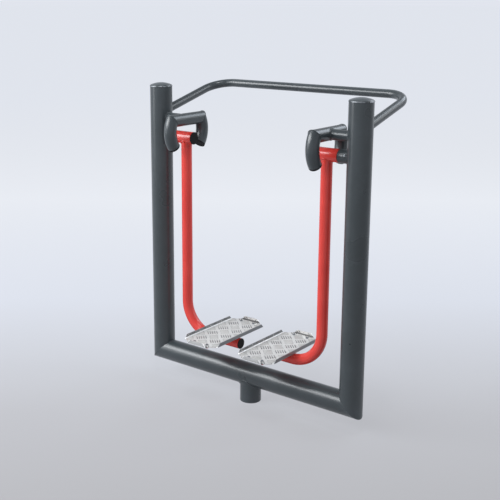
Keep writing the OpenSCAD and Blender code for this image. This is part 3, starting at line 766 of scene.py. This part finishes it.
def brokenEdges(nodeName, width):
    made = bmesh.new()
    made.from_mesh(nodes[nodeName].data)
    bmesh.ops.remove_doubles(made, verts=made.verts, dist=edgeBreak["merge"])
    bmesh.ops.dissolve_limit(made, angle_limit=edgeBreak["flat"], verts=made.verts, edges=made.edges)
    clean = bpy.data.meshes.new(nodeName)
    made.to_mesh(clean)
    made.free()
    clean.shade_smooth()
    clean.set_sharp_from_angle(angle=edgeBreak["sharp"])
    piece = newPiece(f"{nodeName}_finished", clean)
    bevel = piece.modifiers.new("edges", "BEVEL")
    bevel.width = width
    bevel.segments = edgeBreak["segments"]
    bevel.limit_method = "ANGLE"
    bevel.angle_limit = edgeBreak["bevelFrom"]
    bevel.harden_normals = True
    bevel.use_clamp_overlap = True
    return settle(piece, bodyOf[nodeName], slotOf[nodeName], nodeName)


for stem, width in edgeBreak["widths"].items():
    for side in sides:
        brokenEdges(f"{stem}_{side}", width)
print("edges broken")


# Floor, light and camera

camera = {
    "place": (2.6029, -3.5094, 1.9952),
    "azimuth": 0.66285,  # radians
    "elevation": 0.23135,
    "roll": 0.00329,
    "focal": 910.51,  # pixels
    "centre": (230.25, 217.0),  # the optical centre, off the middle because the photo is a crop
    "frame": 500.0,
    "sensor": 36.0,
}
studio = {
    "floorSize": 1200.0,
    "floorStops": (  # metres behind the object as the photo sees it, and the floor's colour there
        (-14.0, "#ecf0f8"), (-4.5, "#bcbdc1"), (-1.5, "#b1b1b4"), (-0.2, "#bfc0c5"),
        (0.25, "#c7c9cf"), (1.6, "#d9dde6"), (4.9, "#edf0f6"), (15.0, "#ecf0f8"),
    ),
    "floorShown": 0.8,  # how much the camera sees of the floor's plain colour; the rest keeps the shadow
    "floorRoughness": 0.9,
    "floorSpecular": 0.1,
    "overhead": (0.40, 0.41, 0.44, 1),  # the world's light from above
    "level": (0.84, 0.87, 0.95, 1),  # and from the sides
    "levelBand": (0.05, 0.75),
    "worldStrength": 0.9,
    "lampColour": (0.95, 0.975, 1.0),
    "lampAim": (0, 0, 0.9),
}
lamps = {
    "keyLight": {"towards": (-0.548, -0.675, 0.493), "distance": 6.0, "size": (5.2, 2.5), "watts": 360},
    "backLight": {"towards": (0.217, 0.752, 0.622), "distance": 6.0, "size": (2.8, 2.4), "watts": 90,
                  "colour": (0.82, 0.9, 1.0)},
    "bendLight": {"towards": (0.446, 0.365, 0.816), "distance": 5.5, "size": (0.45, 0.45), "watts": 22},
    "leftLight": {"towards": (-0.72, -0.65, 0.24), "distance": 5.5, "size": (1.3, 3.4), "watts": 55},
    "rightLight": {"towards": (0.66, 0.53, 0.54), "distance": 5.5, "size": (3.0, 3.0), "watts": 60},
    "topLight": {"towards": (0.15, -0.25, 0.957), "distance": 5.0, "size": (1.0, 1.0), "watts": 55},
}


def studioFloor():
    half = studio["floorSize"] / 2
    corners = [(-half, -half, 0), (half, -half, 0), (half, half, 0), (-half, half, 0)]
    mesh = bpy.data.meshes.new("floor")
    mesh.from_pydata(corners, [], [(0, 1, 2, 3)])
    floor = newPiece("floor", mesh)
    material, tree, shader = newMaterial("floorPaint")
    place = addNode(tree, "ShaderNodeSeparateXYZ", Vector=objectSpace(tree)).outputs
    across = calculate(tree, "MULTIPLY", place["X"], -math.sin(camera["azimuth"]))
    away = calculate(tree, "MULTIPLY_ADD", place["Y"], math.cos(camera["azimuth"]), across)
    near, far = studio["floorStops"][0][0], studio["floorStops"][-1][0]
    ramp = addNode(tree, "ShaderNodeValToRGB", Fac=between(tree, away, 0, 1, near, far))
    stops = ramp.color_ramp.elements
    stops.remove(stops[-1])  # the ramp starts with two stops of its own, and the first is used
    for distance, colour in studio["floorStops"]:
        position = (distance - near) / (far - near)
        stop = stops.new(position) if position > 0 else stops[0]
        stop.color = linear(colour)
    tree.links.new(ramp.outputs[0], shader.inputs["Base Color"])
    shader.inputs["Roughness"].default_value = studio["floorRoughness"]
    shader.inputs["Specular IOR Level"].default_value = studio["floorSpecular"]
    plain = addNode(tree, "ShaderNodeEmission", Color=ramp.outputs[0], Strength=1.0)
    rays = tree.nodes.new("ShaderNodeLightPath")
    seen = calculate(tree, "MAXIMUM", rays.outputs["Is Camera Ray"], rays.outputs["Is Glossy Ray"])
    shown = calculate(tree, "MULTIPLY", seen, studio["floorShown"])
    pick = addNode(tree, "ShaderNodeMixShader", Fac=shown)
    tree.links.new(shader.outputs[0], pick.inputs[1])
    tree.links.new(plain.outputs[0], pick.inputs[2])
    tree.links.new(pick.outputs[0], tree.nodes["Material Output"].inputs["Surface"])
    mesh.materials.append(material)


def worldLight():
    world = bpy.data.worlds.new("studio")
    bpy.context.scene.world = world
    world.use_nodes = True
    tree = world.node_tree
    tree.nodes.clear()
    direction = addNode(tree, "ShaderNodeTexCoord").outputs["Generated"]
    height = addNode(tree, "ShaderNodeSeparateXYZ", Vector=direction).outputs["Z"]
    dome = mixColours(tree, between(tree, height, 0, 1, *studio["levelBand"]), studio["level"],
                      studio["overhead"])
    light = addNode(tree, "ShaderNodeBackground", Color=dome, Strength=studio["worldStrength"])
    output = tree.nodes.new("ShaderNodeOutputWorld")
    tree.links.new(light.outputs[0], output.inputs["Surface"])


def softbox(name, look):
    lamp = bpy.data.lights.new(name, "AREA")
    lamp.shape = "RECTANGLE"
    lamp.size, lamp.size_y = look["size"]
    lamp.energy = look["watts"]
    lamp.color = look.get("colour", studio["lampColour"])
    holder = bpy.data.objects.new(name, lamp)
    bpy.context.scene.collection.objects.link(holder)
    towards = Vector(look["towards"]).normalized()
    holder.location = Vector(studio["lampAim"]) + towards * look["distance"]
    holder.rotation_euler = (-towards).to_track_quat("-Z", "Y").to_euler()


def photoCamera():
    data = bpy.data.cameras.new("camera")
    data.sensor_width = camera["sensor"]
    data.lens = camera["focal"] / camera["frame"] * data.sensor_width
    data.shift_x = (camera["frame"] / 2 - camera["centre"][0]) / camera["frame"]
    data.shift_y = (camera["centre"][1] - camera["frame"] / 2) / camera["frame"]
    data.clip_end = 2 * studio["floorSize"]
    holder = bpy.data.objects.new("camera", data)
    bpy.context.scene.collection.objects.link(holder)
    azimuth, elevation = camera["azimuth"], camera["elevation"]
    back = Vector((math.sin(azimuth) * math.cos(elevation), -math.cos(azimuth) * math.cos(elevation),
                   math.sin(elevation)))
    right = Vector((math.cos(azimuth), math.sin(azimuth), 0))
    up = back.cross(right)
    turnedRight = right * math.cos(camera["roll"]) + up * math.sin(camera["roll"])
    turnedUp = back.cross(turnedRight)
    basis = Matrix((turnedRight, turnedUp, back)).transposed().to_4x4()
    holder.matrix_world = Matrix.Translation(camera["place"]) @ basis
    bpy.context.scene.camera = holder


worldLight()
studioFloor()
for name, look in lamps.items():
    softbox(name, look)
photoCamera()
bpy.context.scene.view_settings.view_transform = "Standard"
print("studio and camera set")
